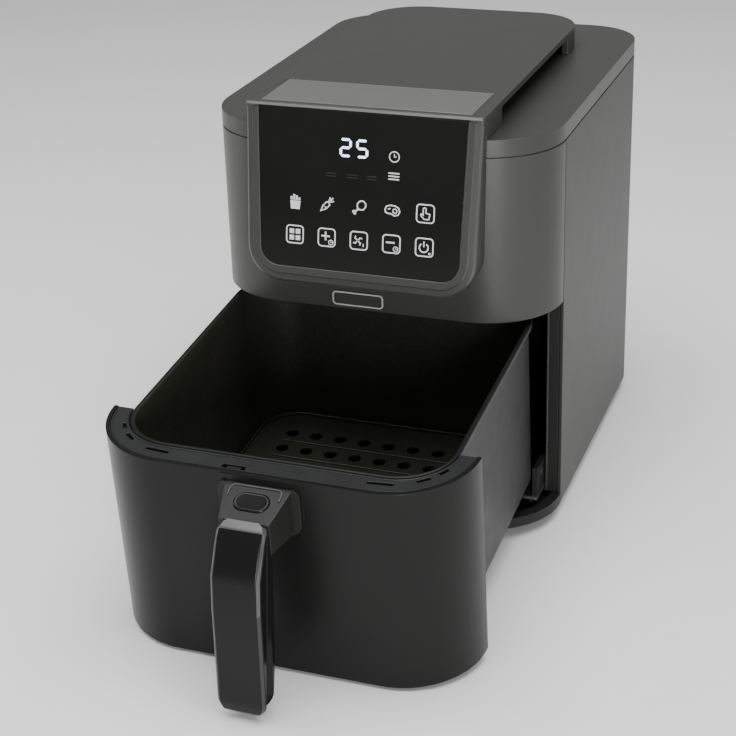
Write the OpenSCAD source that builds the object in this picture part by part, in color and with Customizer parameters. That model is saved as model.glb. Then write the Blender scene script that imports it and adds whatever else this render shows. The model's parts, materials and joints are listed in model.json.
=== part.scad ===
// Digital air fryer with a pull-out, tip-down drawer, as an assembly of separate parts.
// Millimetres. The counter is z = 0 and the front faces -Y. The drawer is drawn pulled out.

/* [Housing] */
// Overall width of the housing
body_w = 260; // [250:1:280]
// Depth of the housing, from its front to its rear wall
body_d = 332; // [328:1:340]
// Overall height, from the counter to the top slab
body_h = 334; // [334:1:350]
// Plan radius of the two front corners
front_r = 57; // [50:1:57]
// Plan radius of the two rear corners
rear_r = 46; // [40:1:50]
// Thickness of the moulded covers
wall = 2.6; // [2:0.1:3]
// Height of the rubber feet
foot_h = 10; // [9:0.5:10]

/* [Top and panel] */
// Width of the floating top slab
slab_w = 176; // [170:1:180]
// Length of the top slab behind the front face
slab_d = 293; // [280:1:295]
// Height of the air slit under the slab
slit_h = 13; // [12:0.5:15]
// How far the foot of the glass panel stands out
panel_out = 23; // [20:0.5:24]
// How far the head of the glass panel stands out
panel_top_out = 5; // [4:0.5:6]

/* [Drawer] */
// How far the drawer is drawn out
pull = 201; // [0:1:205]
// How far the drawer tips down when it is fully out, in degrees
tip_open = 4.9; // [0:0.1:4.9]
// Height of the drawer's front
front_h = 152; // [145:1:152]
// Width of the pan over its rolled rim
pan_w = 231; // [220:1:231]
// Length of the pan over its rolled rim
pan_l = 250; // [240:1:252]
// Width of the grip
grip_w = 34; // [28:1:36]

/* [Hidden] */
$fn = 96;
eps = 0.01;

hw = body_w / 2;
base_z = foot_h;                 // underside of the base
lip_z = foot_h + 8;              // top of the base's lip
front_z = lip_z + 6;             // bottom edge of the closed drawer front
rim_z = front_z + front_h;       // top edge of the closed drawer
mouth_z = rim_z + 3;             // lower edge of the fascia
deck_z = body_h - 5 - slit_h;    // deck of the top cover
seam_z = deck_z - 13;            // joint between the shell and the top cover
slab_z = deck_z + slit_h;        // underside of the top slab

// Cavity, rails and hinge of the drawer
liner_w = 241;
liner_t = 1.5;
liner_z = 21;                    // underside of the liner's floor
floor_z = liner_z + liner_t;
ceil_z = 240;                    // underside of the liner's ceiling
liner_y1 = 302;
frame_y = front_r + 1;           // front face of the liner's frame
rail_top = floor_z + 2.5;
pan_z = 34;                      // underside of the pan
pan_t = 1.2;
pan_y0 = 19.7;                   // front of the pan's rim
pan_y1 = pan_y0 + pan_l;
rim_t = 2.5;                     // how far the rolled rim stands out of the wall
hinge_y = 250;
hinge_z = 40;
tip = tip_open * pull / 201;

// Fan axis
fan_y = 150;

// The glass stands in a leaning plane
glass_z0 = 218.5;
glass_z1 = body_h - 3;
glass_l = sqrt(pow(glass_z1 - glass_z0, 2) + pow(panel_out - panel_top_out, 2));
lean = atan((panel_out - panel_top_out) / (glass_z1 - glass_z0));
glass_t = 3;
bezel_z0 = 206;

// The handle leans out towards its foot
grip_z0 = 28.5;
grip_t = 16;

// Box of the whole assembly along Y, so that it stands centred on the origin
handle_y0 = -59;
tail_y1 = body_d + 8;
reach_y = hinge_y - pull + (handle_y0 - hinge_y) * cos(tip) - (42 - hinge_z) * sin(tip);
mid_y = (reach_y + tail_y1) / 2;

// ---------- helpers ----------

function arc(cx, cy, r, a0, a1, n = 16) =
    [for (i = [0 : n]) let (a = a0 + (a1 - a0) * i / n) [cx + r * cos(a), cy + r * sin(a)]];

module housed() { translate([0, -mid_y, 0]) children(); }
module carried() { housed() translate([0, -pull, 0]) children(); }
module pulled() {
    carried() translate([0, hinge_y, hinge_z]) rotate([tip, 0, 0])
        translate([0, -hinge_y, -hinge_z]) children();
}
module both() { children(); mirror([1, 0, 0]) children(); }

// Rounded rectangle from (x0, y0) to (x1, y1), front radius rf and rear radius rr
module rounded(x0, y0, x1, y1, rf, rr) {
    ym = (y0 + rf + y1 - rr) / 2;
    translate([x0, y0 + rf]) square([x1 - x0, y1 - rr - y0 - rf]);
    translate([x0 + rf, y0]) square([x1 - x0 - 2 * rf, ym - y0]);
    translate([x0 + rr, ym]) square([x1 - x0 - 2 * rr, y1 - ym]);
    for (x = [x0 + rf, x1 - rf]) translate([x, y0 + rf]) circle(rf);
    for (x = [x0 + rr, x1 - rr]) translate([x, y1 - rr]) circle(rr);
}
module plan(inset = 0) {
    rounded(-hw + inset, inset, hw - inset, body_d - inset, front_r - inset, rear_r - inset);
}
module ahead(y) { translate([-hw - 1, -1]) square([body_w + 2, y + 1]); }
module behind(y) { translate([-hw - 1, y]) square([body_w + 2, body_d]); }
module block(x0, x1, y0, y1, z0, z1) {
    translate([x0, y0, z0]) cube([x1 - x0, y1 - y0, z1 - z0]);
}
module slab(z0, z1) { translate([0, 0, z0]) linear_extrude(z1 - z0) children(); }
// A bar or hole along Y, from y0 to y1
module rod_y(x, z, y0, y1, r) {
    translate([x, y0, z]) rotate([-90, 0, 0]) cylinder(r = r, h = y1 - y0);
}
module rod_x(y, z, x0, x1, r) {
    translate([x0, y, z]) rotate([0, 90, 0]) cylinder(r = r, h = x1 - x0);
}
module rod_z(x, y, z0, z1, r) { translate([x, y, z0]) cylinder(r = r, h = z1 - z0); }
module pill(w, h) {
    square([w - h, h], center = true);
    for (s = [-1, 1]) translate([s * (w - h) / 2, 0]) circle(h / 2);
}
// Frame of the leaning glass: z runs up the glass and -y points out of it
module leaning() { translate([0, -panel_out, glass_z0]) rotate([-lean, 0, 0]) children(); }
module glass_outline(grow = 0) {
    x0 = 74.6 + grow;
    x1 = 77.7 + grow;
    r = 14;
    polygon(concat([[x1, glass_l + grow], [-x1, glass_l + grow]],
        arc(-x0 + r, r - grow, r, 180, 270), arc(x0 - r, r - grow, r, 270, 360)));
}
module bezel_outline() {
    x0 = slab_w / 2 - 2;
    x1 = slab_w / 2;
    r = 27;
    polygon(concat([[x1, slab_z], [-x1, slab_z]],
        arc(-x0 + r, bezel_z0 + r, r, 180, 270), arc(x0 - r, bezel_z0 + r, r, 270, 360)));
}
// Places on the base: feet, shell screws and liner pillars
foot_at = [[-95, 62], [95, 62], [-95, 285], [95, 285]];
pillar_at = [[-60, 90], [60, 90], [-60, 270], [60, 270]];
rear_screw_at = [[-78, 30], [78, 30], [-78, 290], [78, 290]];

// ---------- base and housing ----------

module base_tray() {
    color([0.05, 0.05, 0.05]) housed() difference() {
        union() {
            slab(base_z, lip_z) difference() {
                union() {
                    plan(wall + 0.1);
                    intersection() { plan(); ahead(front_r - 0.4); }
                }
                plan(8);
            }
            slab(base_z, base_z + 3) plan(wall + 0.1);
            for (p = pillar_at) rod_z(p[0], p[1], base_z + 2, liner_z, 6);
            for (p = [rear_screw_at[0], rear_screw_at[1]])
                block(p[0] - 6, p[0] + 6, 312, body_d - wall, base_z + 2, 38);
        }
        for (p = foot_at) rod_z(p[0], p[1], base_z - 1, base_z + 4, 3);
        for (p = [rear_screw_at[0], rear_screw_at[1]]) rod_y(p[0], p[1], 314, body_d, 1.8);
        for (y = [100 : 16 : 260]) block(-28, 28, y, y + 5, base_z - 1, base_z + 4);
    }
}
module rubber_feet() {
    color([0.09, 0.09, 0.09]) housed() for (p = foot_at) difference() {
        translate([p[0], p[1], 0]) cylinder(r1 = 11, r2 = 12.5, h = base_z);
        rod_z(p[0], p[1], -1, 4, 5);
        rod_z(p[0], p[1], 3, base_z + 1, 2.2);
    }
}
module base_screws() {
    color([0.7, 0.7, 0.7]) housed() for (p = foot_at) {
        rod_z(p[0], p[1], 1.5, 4, 4);
        rod_z(p[0], p[1], 4 - eps, base_z, 2.2);
        rod_z(p[0], p[1], base_z - eps, base_z + 3, 3);
    }
}
// The shell's two flat sides stop short of the fascia by the width of the joint
side_y0 = front_r + 0.4;
side_y1 = body_d - rear_r;
module side_panels() {
    color([0.38, 0.38, 0.36]) housed() both()
        block(hw - wall, hw, side_y0, side_y1, base_z, seam_z);
}
module rear_panel() {
    color([0.38, 0.38, 0.36]) housed() difference() {
        slab(base_z, seam_z) intersection() {
            difference() { plan(); plan(wall); }
            behind(side_y1);
        }
        block(-44, 44, body_d - 10, body_d + 1, 186, 229);
        rod_y(-70, 52, body_d - 10, body_d + 1, 7);
        for (p = rear_screw_at) rod_y(p[0], p[1], body_d - 10, body_d + 1, 2);
        for (x = [-60, 60]) rod_y(x, 262, body_d - 10, body_d + 1, 3);
    }
}
module front_fascia() {
    color([0.38, 0.38, 0.36]) housed() difference() {
        slab(mouth_z, seam_z) intersection() {
            difference() { plan(); plan(wall); }
            ahead(front_r);
        }
        block(-66, 66, -1, 4, 226, 296);
    }
}
module seam_joiners() {
    color([0.1, 0.1, 0.1]) housed() both()
        block(hw - wall - 2.4, hw - wall, front_r + 1, front_r + 12, mouth_z + 3, seam_z - 3);
}
module top_cover() {
    color([0.38, 0.38, 0.36]) housed() difference() {
        union() {
            slab(seam_z + 0.8, deck_z) plan();
            slab(seam_z, deck_z) plan(0.8);
        }
        slab(seam_z - 1, deck_z - wall) plan(wall + 0.8);
        slab(deck_z - 5, deck_z + 1) rounded(-70, 56, 70, 219, 8, 8);
    }
}
module intake_grille() {
    color([0.04, 0.04, 0.04]) housed() difference() {
        slab(deck_z, deck_z + 2) rounded(-75, 50, 75, 225, 10, 10);
        for (i = [-10 : 10], j = [0, 1])
            block(i * 6.2 - 1.8, i * 6.2 + 1.8, 60 + j * 78, 60 + j * 78 + 70, deck_z - 1, deck_z + 3);
    }
}
module top_slab() {
    s = slab_w / 2;
    color([0.38, 0.38, 0.36]) housed() difference() {
        union() {
            slab(slab_z, body_h) rounded(-s, -panel_top_out, s, slab_d, 2, 43);
            both() block(s - 6, s, 0, 40, deck_z, slab_z + 1);
            block(-s + 5, s - 5, 34, 40, deck_z, slab_z + 1);
            slab(deck_z, slab_z + 1) intersection() {
                difference() {
                    rounded(-s, -panel_top_out, s, slab_d, 2, 43);
                    rounded(-s + 5, 0, s - 5, slab_d - 5, 2, 38);
                }
                behind(232);
            }
        }
        block(-78.3, 78.3, 0.7, 53.3, body_h - 1, body_h + 1);
        block(-78.2, 78.2, -panel_top_out - 1, 0.2, slab_z - 1, glass_z1 + 0.3);
    }
}
module top_inlay() {
    color([0.51, 0.51, 0.49]) housed() block(-78, 78, 1, 53, body_h - 1, body_h);
}

// ---------- control panel ----------

module control_bezel() {
    color([0.13, 0.13, 0.13]) housed() difference() {
        rotate([90, 0, 0]) linear_extrude(32) bezel_outline();
        leaning() block(-100, 100, -40, -0.6, -60, 160);
        leaning() translate([0, glass_t, 0]) rotate([90, 0, 0])
            linear_extrude(40) glass_outline(0.2);
        leaning() block(-66, 66, 0, 40, 10, 80);
    }
}
module touch_glass() {
    color([0.09, 0.09, 0.085]) housed() leaning() translate([0, glass_t, 0])
        rotate([90, 0, 0]) linear_extrude(glass_t) glass_outline();
}
module touch_pads() {
    color([0.35, 0.35, 0.35]) housed() leaning()
        for (i = [-2 : 2], z = [23.4, 47.3]) rod_y(i * 24.3, z, glass_t, 6.5, 6);
}
module led_display() {
    color([0.85, 0.9, 0.95]) housed() leaning() block(-24, 32, glass_t, 6.5, 58, 78);
}
module display_board() {
    color([0.05, 0.3, 0.15]) housed() leaning() block(-64, 64, 6.5, 8.1, 12, 79);
}
module badge_plate() {
    color([0.6, 0.6, 0.58]) housed() translate([-9.3, 0, 187.6]) rotate([90, 0, 0])
        linear_extrude(1.2) pill(40, 11.6);
}

// ---------- cavity, heater and fan ----------

module liner_outline(inset = 0) {
    rounded(-liner_w / 2 + inset, 12 + inset, liner_w / 2 - inset, liner_y1 - inset,
        48 - inset, 24 - inset);
}
module cavity_liner() {
    c = liner_w / 2;
    color([0.16, 0.16, 0.16]) housed() difference() {
        slab(liner_z, ceil_z + liner_t) liner_outline();
        slab(floor_z, ceil_z) liner_outline(liner_t);
        block(-c - 1, c + 1, 0, frame_y + 4, liner_z - 1, mouth_z);
        rod_z(0, fan_y, ceil_z - 1, ceil_z + 3, 8);
        rod_z(60, 70, ceil_z - 1, ceil_z + 3, 3);
        for (x = [-12, 12]) rod_z(x, fan_y + 118, ceil_z - 1, ceil_z + 3, 4);
        for (x = [-30 : 10 : 30]) block(x - 3, x + 3, 290, 310, 194, 221);
    }
}
module liner_front_frame() {
    color([0.05, 0.05, 0.05]) housed() difference() {
        block(-hw + wall, hw - wall, frame_y, frame_y + 4, lip_z, mouth_z);
        block(-117.6, 117.6, frame_y - 1, frame_y + 5, liner_z, mouth_z + 1);
    }
}
module guide_rails() {
    color([0.72, 0.72, 0.72]) housed() both() {
        block(107, 117.4, 34, 276, floor_z, rail_top);
        block(117.3, 118.8, 66, 276, floor_z, rail_top + 10);
    }
}
module heating_element() {
    z = 200;
    color([0.45, 0.43, 0.42]) housed() {
        for (r = [66, 84]) translate([0, fan_y, z]) rotate_extrude()
            translate([r, 0]) circle(3.2, $fn = 32);
        block(-3, 3, fan_y + 66, fan_y + 84, z - 3, z + 3);
        for (x = [-12, 12]) {
            translate([x, fan_y + 81, z]) sphere(3.2, $fn = 32);
            rod_y(x, z, fan_y + 81, fan_y + 118, 3.2);
            translate([x, fan_y + 118, z]) sphere(3.2, $fn = 32);
            rod_z(x, fan_y + 118, z, ceil_z + 6, 3.2);
        }
    }
}
module element_clips() {
    color([0.7, 0.7, 0.7]) housed() for (a = [30, 150]) translate([0, fan_y, 0]) rotate([0, 0, a])
        difference() {
            block(62, 90, -3, 3, 195.5, ceil_z);
            translate([0, 0, 200]) rotate_extrude() translate([66, 0]) circle(3.2, $fn = 32);
            translate([0, 0, 200]) rotate_extrude() translate([84, 0]) circle(3.2, $fn = 32);
            block(60, 80, -4, 4, 206, ceil_z + 1);
        }
}
module element_guard() {
    color([0.6, 0.6, 0.6]) housed() translate([0, fan_y, 0]) {
        difference() {
            rod_z(0, 0, 186, 187.2, 104);
            for (r = [14, 30, 46, 62, 78], a = [0 : 60 : 300]) rotate([0, 0, a + r])
                difference() {
                    intersection() {
                        rod_z(0, 0, 185, 189, r + 12);
                        linear_extrude(200) polygon([[0, 0], [200, 84], [200, -84]]);
                    }
                    rod_z(0, 0, 184, 190, r);
                }
        }
    }
}
module guard_posts() {
    color([0.6, 0.6, 0.6]) housed() translate([0, fan_y, 0])
        for (a = [0 : 90 : 270]) rotate([0, 0, a + 45]) rod_z(99, 0, 187.2, ceil_z, 2.5);
}
module heat_shield() {
    color([0.75, 0.75, 0.75]) housed() difference() {
        union() {
            block(-112, 112, 30, 285, 249, 250.5);
            for (x = [-100, 100], y = [45, 270]) rod_z(x, y, ceil_z + liner_t, 249 + eps, 5);
        }
        rod_z(0, fan_y, 240, 256, 8);
        rod_z(60, 70, 240, 256, 4);
        for (x = [-12, 12]) rod_z(x, fan_y + 118, 240, 256, 6);
    }
}
module thermal_cutout() {
    color([0.85, 0.82, 0.75]) housed() {
        rod_z(78, 100, 250.5, 256, 9);
        block(70, 86, 98, 102, 256 - eps, 259);
    }
}
module ntc_sensor() {
    color([0.7, 0.68, 0.65]) housed() {
        rod_z(60, 70, 216, 246, 2.9);
        rod_z(60, 70, ceil_z + liner_t, 244, 5);
    }
}
module motor_mount() {
    color([0.7, 0.7, 0.72]) housed() difference() {
        union() {
            block(-62, 62, fan_y - 22, fan_y + 22, 266, 268);
            both() block(58, 62, fan_y - 12, fan_y + 12, 250.5, 267);
        }
        rod_z(0, fan_y, 260, 270, 10);
    }
}
module motor() {
    color([0.6, 0.6, 0.62]) housed() difference() {
        union() {
            rod_z(0, fan_y, 268, 298, 33);
            rod_z(0, fan_y, 298 - eps, 302, 11);
        }
        rod_z(0, fan_y, 260, 310, 4.05);
    }
}
module motor_shaft() { color([0.8, 0.8, 0.8]) housed() rod_z(0, fan_y, 203, 304, 4); }
module hot_air_impeller() {
    color([0.78, 0.78, 0.78]) housed() translate([0, fan_y, 0]) difference() {
        union() {
            rod_z(0, 0, 233, 234.2, 56);
            rod_z(0, 0, 214, 234, 10);
            for (a = [0 : 36 : 324]) rotate([0, 0, a])
                translate([9, 0, 214]) rotate([0, 0, 14]) cube([46, 1.4, 20]);
        }
        rod_z(0, 0, 200, 240, 4);
    }
}
module cooling_fan() {
    color([0.15, 0.15, 0.15]) housed() translate([0, fan_y, 0]) difference() {
        union() {
            rod_z(0, 0, 253, 262, 9);
            rod_z(0, 0, 253, 254.2, 44);
            for (a = [0 : 40 : 320]) rotate([0, 0, a]) translate([8, 0, 253.5])
                rotate([0, 0, 10]) cube([34, 1.6, 8]);
        }
        rod_z(0, 0, 250, 270, 4);
    }
}
module shaft_nut() {
    color([0.7, 0.66, 0.5]) housed() difference() {
        translate([0, fan_y, 207]) cylinder(r = 8, h = 7, $fn = 6);
        rod_z(0, fan_y, 200, 220, 4);
    }
}
module exhaust_duct() {
    color([0.2, 0.2, 0.2]) housed() difference() {
        block(-40, 40, liner_y1, body_d - 3, 190, 225);
        block(-38, 38, liner_y1 - 1, body_d + 1, 192, 223);
    }
}
module rear_exhaust_grille() {
    color([0.06, 0.06, 0.06]) housed() difference() {
        union() {
            block(-43.8, 43.8, body_d - 3, body_d, 186.2, 228.8);
            block(-48, 48, body_d, body_d + 1.5, 182, 233);
        }
        for (i = [0 : 5]) block(-36, 36, body_d - 5, body_d + 3, 194 + i * 5, 196.6 + i * 5);
    }
}

// ---------- electrics and fixings ----------

module board_posts() {
    color([0.85, 0.85, 0.8]) housed()
        for (x = [-104, -72], y = [196, 274]) rod_z(x, y, 250.5, 262, 3);
}
module power_board() {
    color([0.05, 0.28, 0.14]) housed() {
        block(-108, -68, 190, 280, 262, 263.6);
        block(-102, -84, 200, 224, 263.6 - eps, 282);
        rod_z(-80, 242, 263.6 - eps, 288, 7);
        block(-104, -92, 250, 272, 263.6 - eps, 274);
    }
}
module drawer_switch() {
    color([0.12, 0.12, 0.12]) housed() difference() {
        block(48, 70, wall + 0.4, 12, 182, 198);
        rod_z(60, 7.5, 180, 191.5, 1.55);
    }
}
module switch_plunger() { color([0.8, 0.1, 0.1]) housed() rod_z(60, 7.5, 177.4, 187, 1.5); }
// Flat ribbon from the power board, round the front corner and through the fascia's window
module wiring_harness() {
    color([0.1, 0.1, 0.1]) housed() {
        block(-100, -92, 14, 190, 262, 263.6);
        block(-100, -46, 14, 22, 262, 263.6);
        block(-54, -46, -7.4, 22, 262, 263.6);
    }
}
module power_gland() {
    color([0.05, 0.05, 0.05]) housed() difference() {
        union() {
            rod_y(-70, 52, body_d - 12, body_d, 6.9);
            rod_y(-70, 52, body_d, body_d + 4, 11);
            rod_y(-70, 52, body_d - wall - 6, body_d - wall, 10);
        }
        rod_y(-70, 52, body_d - 20, body_d + 10, 3.6);
    }
}
module rear_spacers() {
    color([0.08, 0.08, 0.08]) housed() for (x = [-60, 60]) {
        rod_y(x, 262, body_d - wall - 3, body_d, 3);
        translate([x, body_d, 262]) rotate([-90, 0, 0]) cylinder(r1 = 12, r2 = 8, h = 8);
    }
}
module shell_screws() {
    color([0.6, 0.6, 0.6]) housed() for (p = rear_screw_at) {
        rod_y(p[0], p[1], body_d, body_d + 2, 4);
        rod_y(p[0], p[1], body_d - 14, body_d + eps, 1.8);
    }
}
module cover_posts() {
    color([0.08, 0.08, 0.08]) housed() both() difference() {
        union() {
            block(72, 84, 316, body_d - wall, 250, seam_z);
            block(72, 84, 316, body_d - wall - 0.8, 250, deck_z - wall);
        }
        rod_y(78, 290, 300, body_d, 1.8);
    }
}

// ---------- drawer ----------

module guide_shoes() {
    color([0.85, 0.84, 0.8]) carried() both() difference() {
        block(113, 117, hinge_y - 12, hinge_y + 12, rail_top, hinge_z + 8);
        rod_x(hinge_y, hinge_z, 100, 120, 3.05);
    }
}
module pan_outline(grow = 0) {
    rounded(-pan_w / 2 - grow, pan_y0 - grow, pan_w / 2 + grow, pan_y1 + grow,
        40 + grow, 40 + grow);
}
module drawer_front() {
    color([0.23, 0.23, 0.22]) pulled() difference() {
        slab(front_z, rim_z) intersection() {
            difference() { plan(); plan(3); }
            ahead(front_r);
        }
        for (x = [-9, 9]) rod_y(x, screw_z, -1, 5, 2.2);
        both() block(5.7, 8.8, -1, 5, 154, 162);
    }
}
module drawer_backing() {
    color([0.08, 0.08, 0.08]) pulled() difference() {
        slab(front_z + 6, rim_z - 9) intersection() {
            plan(3);
            ahead(front_r);
            union() {
                translate([-hw, 14]) square([body_w, 2.5]);
                both() translate([116, 14]) square([1.8, body_d]);
                both() translate([116, front_r - 2.5]) square([20, 3]);
            }
        }
        for (x = [-9, 9]) rod_y(x, screw_z, 0, 20, 5);
    }
}
// Vent slots in each corner of the rim: angle round the corner, and length
vents = [[5, 17], [41, 9.5], [61, 7.5]];
module rim_frame() {
    color([0.12, 0.12, 0.12]) pulled() difference() {
        slab(rim_z - 9, rim_z - 0.6) intersection() { plan(3); ahead(front_r); }
        slab(rim_z - 5, rim_z + 1) pan_outline(0.3);
        slab(rim_z - 12, rim_z + 1) pan_outline(-rim_t + 0.2);
        both() for (v = vents) translate([hw - front_r, front_r, 0]) rotate([0, 0, v[0]])
            block(-v[1] / 2, v[1] / 2, -45.3, -42.7, rim_z - 4, rim_z + 1);
        block(-28, -12, 4.5, 9.5, rim_z - 12, rim_z + 1);
    }
}
module pan() {
    color([0.14, 0.14, 0.13]) pulled() {
        difference() {
            union() {
                slab(pan_z, rim_z) pan_outline(-rim_t);
                slab(rim_z - 5, rim_z) pan_outline();
            }
            slab(pan_z + pan_t, rim_z + 1) pan_outline(-rim_t - pan_t);
        }
        both() rod_x(hinge_y, hinge_z, 106, 117, 3);
    }
}
module crisper_plate() {
    color([0.12, 0.12, 0.12]) pulled() difference() {
        slab(52, 54) rounded(-108, pan_y0 + 8, 108, pan_y1 - 8, 30, 30);
        for (i = [-4 : 4], j = [-4 : 4])
            translate([i * 20, (pan_y0 + pan_y1) / 2 + j * 22, 50]) cylinder(r = 5, h = 6);
    }
}
crisper_foot_at = [[-92, pan_y0 + 24], [92, pan_y0 + 24], [-92, pan_y1 - 24], [92, pan_y1 - 24]];
module crisper_bumpers() {
    color([0.2, 0.2, 0.2]) pulled() for (p = crisper_foot_at)
        rod_z(p[0], p[1], pan_z + pan_t, 52, 6);
}
// Side profile of the grip. The front moves back by s, and the rear comes forward by back
module grip_profile(s = 0, back = 0) {
    polygon([[-27 + back, 160.6 - s], [-29.5 + s / 2, 160.3 - s], [-36 + s, 153.2 - s / 2],
        [-49 + s, 131], [-53 + s, 108], [-55 + s, 85], [-57.5 + s, 57], [-59.3 + s, 40],
        [-58.3 + s, 34 + s / 2], [-54.5 + s / 2, 29.6 + s], [-50, grip_z0 + s], [-46.5 + back, 31],
        [-42.5 + back, 37], [-38.5 + back, 50], [-35 + back, 62], [-30.5 + back, 92],
        [-27 + back, 112], [-24 + back, 128], [-23.5 + back, 134], [-27 + back, 138]]);
}
module across(w) { translate([-w / 2, 0, 0]) rotate([90, 0, 90]) linear_extrude(w) children(); }
module grip_cover() {
    color([0.03, 0.03, 0.03]) pulled() difference() {
        across(grip_w) grip_profile();
        across(grip_w - 6) grip_profile(3, 8);
    }
}
module grip_core() {
    color([0.1, 0.1, 0.1]) pulled() across(grip_w - 6) intersection() {
        grip_profile(3);
        grip_profile(3, 8);
    }
}
// The bracket's top slopes down to the grip. The button sits in it, square to the slope
bracket_z0 = 138;
bracket_z1 = 170;
slope = atan(10 / 27);
button_y = -14;
button_l = 24;
button_d = 14;
screw_z = 145;
module sloped() { translate([0, 0, bracket_z1]) rotate([slope, 0, 0]) children(); }
module bracket_plan() {
    polygon([[-23, 0], [-grip_w / 2, -27], [grip_w / 2, -27], [23, 0]]);
}
module handle_bracket() {
    color([0.1, 0.1, 0.1]) pulled() difference() {
        slab(bracket_z0, bracket_z1) bracket_plan();
        sloped() block(-60, 60, -60, 20, 0, 20);
        sloped() translate([0, button_y, -8]) linear_extrude(20)
            pill(button_l + 0.6, button_d + 0.6);
        sloped() rod_z(0, button_y, -16, -7, 4.5);
        for (x = [-9, 9]) rod_y(x, screw_z, -22, 1, 1.8);
        both() block(5.7, 8.8, -12.6, 1, 154, 162);
    }
}
module handle_collar() {
    color([0.08, 0.08, 0.08]) pulled() difference() {
        rotate([90, 0, 0]) linear_extrude(2.5) polygon(concat(
            arc(-18, 146, 10, 180, 270), arc(18, 146, 10, 270, 360),
            arc(22, bracket_z1 - 5, 6, 0, 90), arc(-22, bracket_z1 - 5, 6, 90, 180)));
        slab(bracket_z0 - 0.2, bracket_z1 + 5) bracket_plan();
    }
}
module handle_screws() {
    color([0.7, 0.7, 0.7]) pulled() for (x = [-9, 9]) {
        rod_y(x, screw_z, -20, 3 + eps, 1.8);
        rod_y(x, screw_z, 3, 5.2, 4);
    }
}
module release_button() {
    color([0.1, 0.1, 0.1]) pulled() sloped()
        translate([0, button_y, -3.4]) linear_extrude(4.4) pill(button_l, button_d);
}
module button_spring() {
    color([0.8, 0.8, 0.8]) pulled() sloped() difference() {
        rod_z(0, button_y, -16, -3.4, 4);
        rod_z(0, button_y, -17, -3, 3);
    }
}
// Two arms reach under the button, through the drawer front, to the bolt behind it
module latch_bolt() {
    color([0.75, 0.75, 0.75]) pulled() {
        block(-25, -15, 5, 9, 158.5, rim_z - 1.4);
        block(-25, 8.5, 5, 9, 158.5, 161.5);
        both() block(6, 8.5, -12, 6, 158.5, 161.5);
    }
}

base_tray();
rubber_feet();
base_screws();
side_panels();
rear_panel();
front_fascia();
seam_joiners();
top_cover();
intake_grille();
top_slab();
top_inlay();
control_bezel();
touch_glass();
touch_pads();
led_display();
display_board();
badge_plate();
cavity_liner();
liner_front_frame();
guide_rails();
heating_element();
element_clips();
element_guard();
guard_posts();
heat_shield();
thermal_cutout();
ntc_sensor();
motor_mount();
motor();
motor_shaft();
hot_air_impeller();
cooling_fan();
shaft_nut();
exhaust_duct();
rear_exhaust_grille();
board_posts();
power_board();
drawer_switch();
switch_plunger();
wiring_harness();
power_gland();
rear_spacers();
shell_screws();
cover_posts();
guide_shoes();
drawer_front();
drawer_backing();
rim_frame();
pan();
crisper_plate();
crisper_bumpers();
grip_cover();
grip_core();
handle_bracket();
handle_collar();
handle_screws();
release_button();
button_spring();
latch_bolt();
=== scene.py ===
"""Countertop air fryer: the looks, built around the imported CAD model. Lengths here are in mm."""
import bpy
import bmesh
import json
import math
from mathutils import Matrix, Vector


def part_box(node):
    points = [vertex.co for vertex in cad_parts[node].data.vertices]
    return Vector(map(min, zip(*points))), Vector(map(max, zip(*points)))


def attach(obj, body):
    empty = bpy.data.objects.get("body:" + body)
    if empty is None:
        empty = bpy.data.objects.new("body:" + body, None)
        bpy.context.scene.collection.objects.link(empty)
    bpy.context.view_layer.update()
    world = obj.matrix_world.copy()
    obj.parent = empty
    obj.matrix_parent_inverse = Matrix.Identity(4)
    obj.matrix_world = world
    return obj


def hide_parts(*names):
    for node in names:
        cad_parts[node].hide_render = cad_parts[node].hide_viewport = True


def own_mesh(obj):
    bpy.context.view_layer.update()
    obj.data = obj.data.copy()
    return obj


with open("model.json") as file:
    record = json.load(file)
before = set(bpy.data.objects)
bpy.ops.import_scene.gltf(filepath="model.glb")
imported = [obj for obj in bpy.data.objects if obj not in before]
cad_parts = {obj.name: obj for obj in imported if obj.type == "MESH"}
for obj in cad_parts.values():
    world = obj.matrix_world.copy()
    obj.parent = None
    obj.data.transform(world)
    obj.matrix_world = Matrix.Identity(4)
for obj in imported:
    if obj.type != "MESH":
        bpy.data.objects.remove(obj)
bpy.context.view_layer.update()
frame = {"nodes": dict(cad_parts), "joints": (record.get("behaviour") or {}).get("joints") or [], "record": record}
nodes = frame["nodes"]
MM = 0.001

# ---------- places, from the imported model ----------

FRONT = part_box("front_fascia")[0][1] / MM
HALF = (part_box("front_fascia")[1][0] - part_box("front_fascia")[0][0]) / MM / 2
SEAM_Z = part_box("front_fascia")[1][2] / MM
MOUTH_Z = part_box("front_fascia")[0][2] / MM
PIN = [c / MM for c in next(j for j in frame["joints"] if j["name"] == "drawer_tip")["pos_m"]]
TIP = math.radians(4.9)
PIN_Y, PIN_Z = 250.0, 40.0              # the tip's pin, in the closed drawer's frame
LEAN = math.radians(9.09)
GLASS_Y, GLASS_Z = -23.0, 218.5         # the foot of the glass
FRONT_R = 57.0
BACK_Y, BACK_R = 332.0, 46.0
SIDE_Y = 57.4                           # where the side panels meet the fascia
CORNER_STEPS = 18
RIM_Z = 176.0


def housed(x, y, z):
    return Vector((x, FRONT + y, z)) * MM


def pulled(x, y, z):
    """From the closed drawer's own frame to where the drawer is stored, drawn out and tipped."""
    c, s = math.cos(TIP), math.sin(TIP)
    a, b = y - PIN_Y, z - PIN_Z
    return Vector((x, PIN[1] + a * c - b * s, PIN[2] + b * c + a * s)) * MM


def facing(x, z, out):
    """A drawing on the housing's front: x across it, z up it, out from its face."""
    return housed(x, -out, z)


def panel(x, v, out):
    """x across the glass, v up it, out from its face."""
    c, s = math.cos(LEAN), math.sin(LEAN)
    return Vector((x, FRONT + GLASS_Y - out * c + v * s, GLASS_Z + out * s + v * c)) * MM


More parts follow.
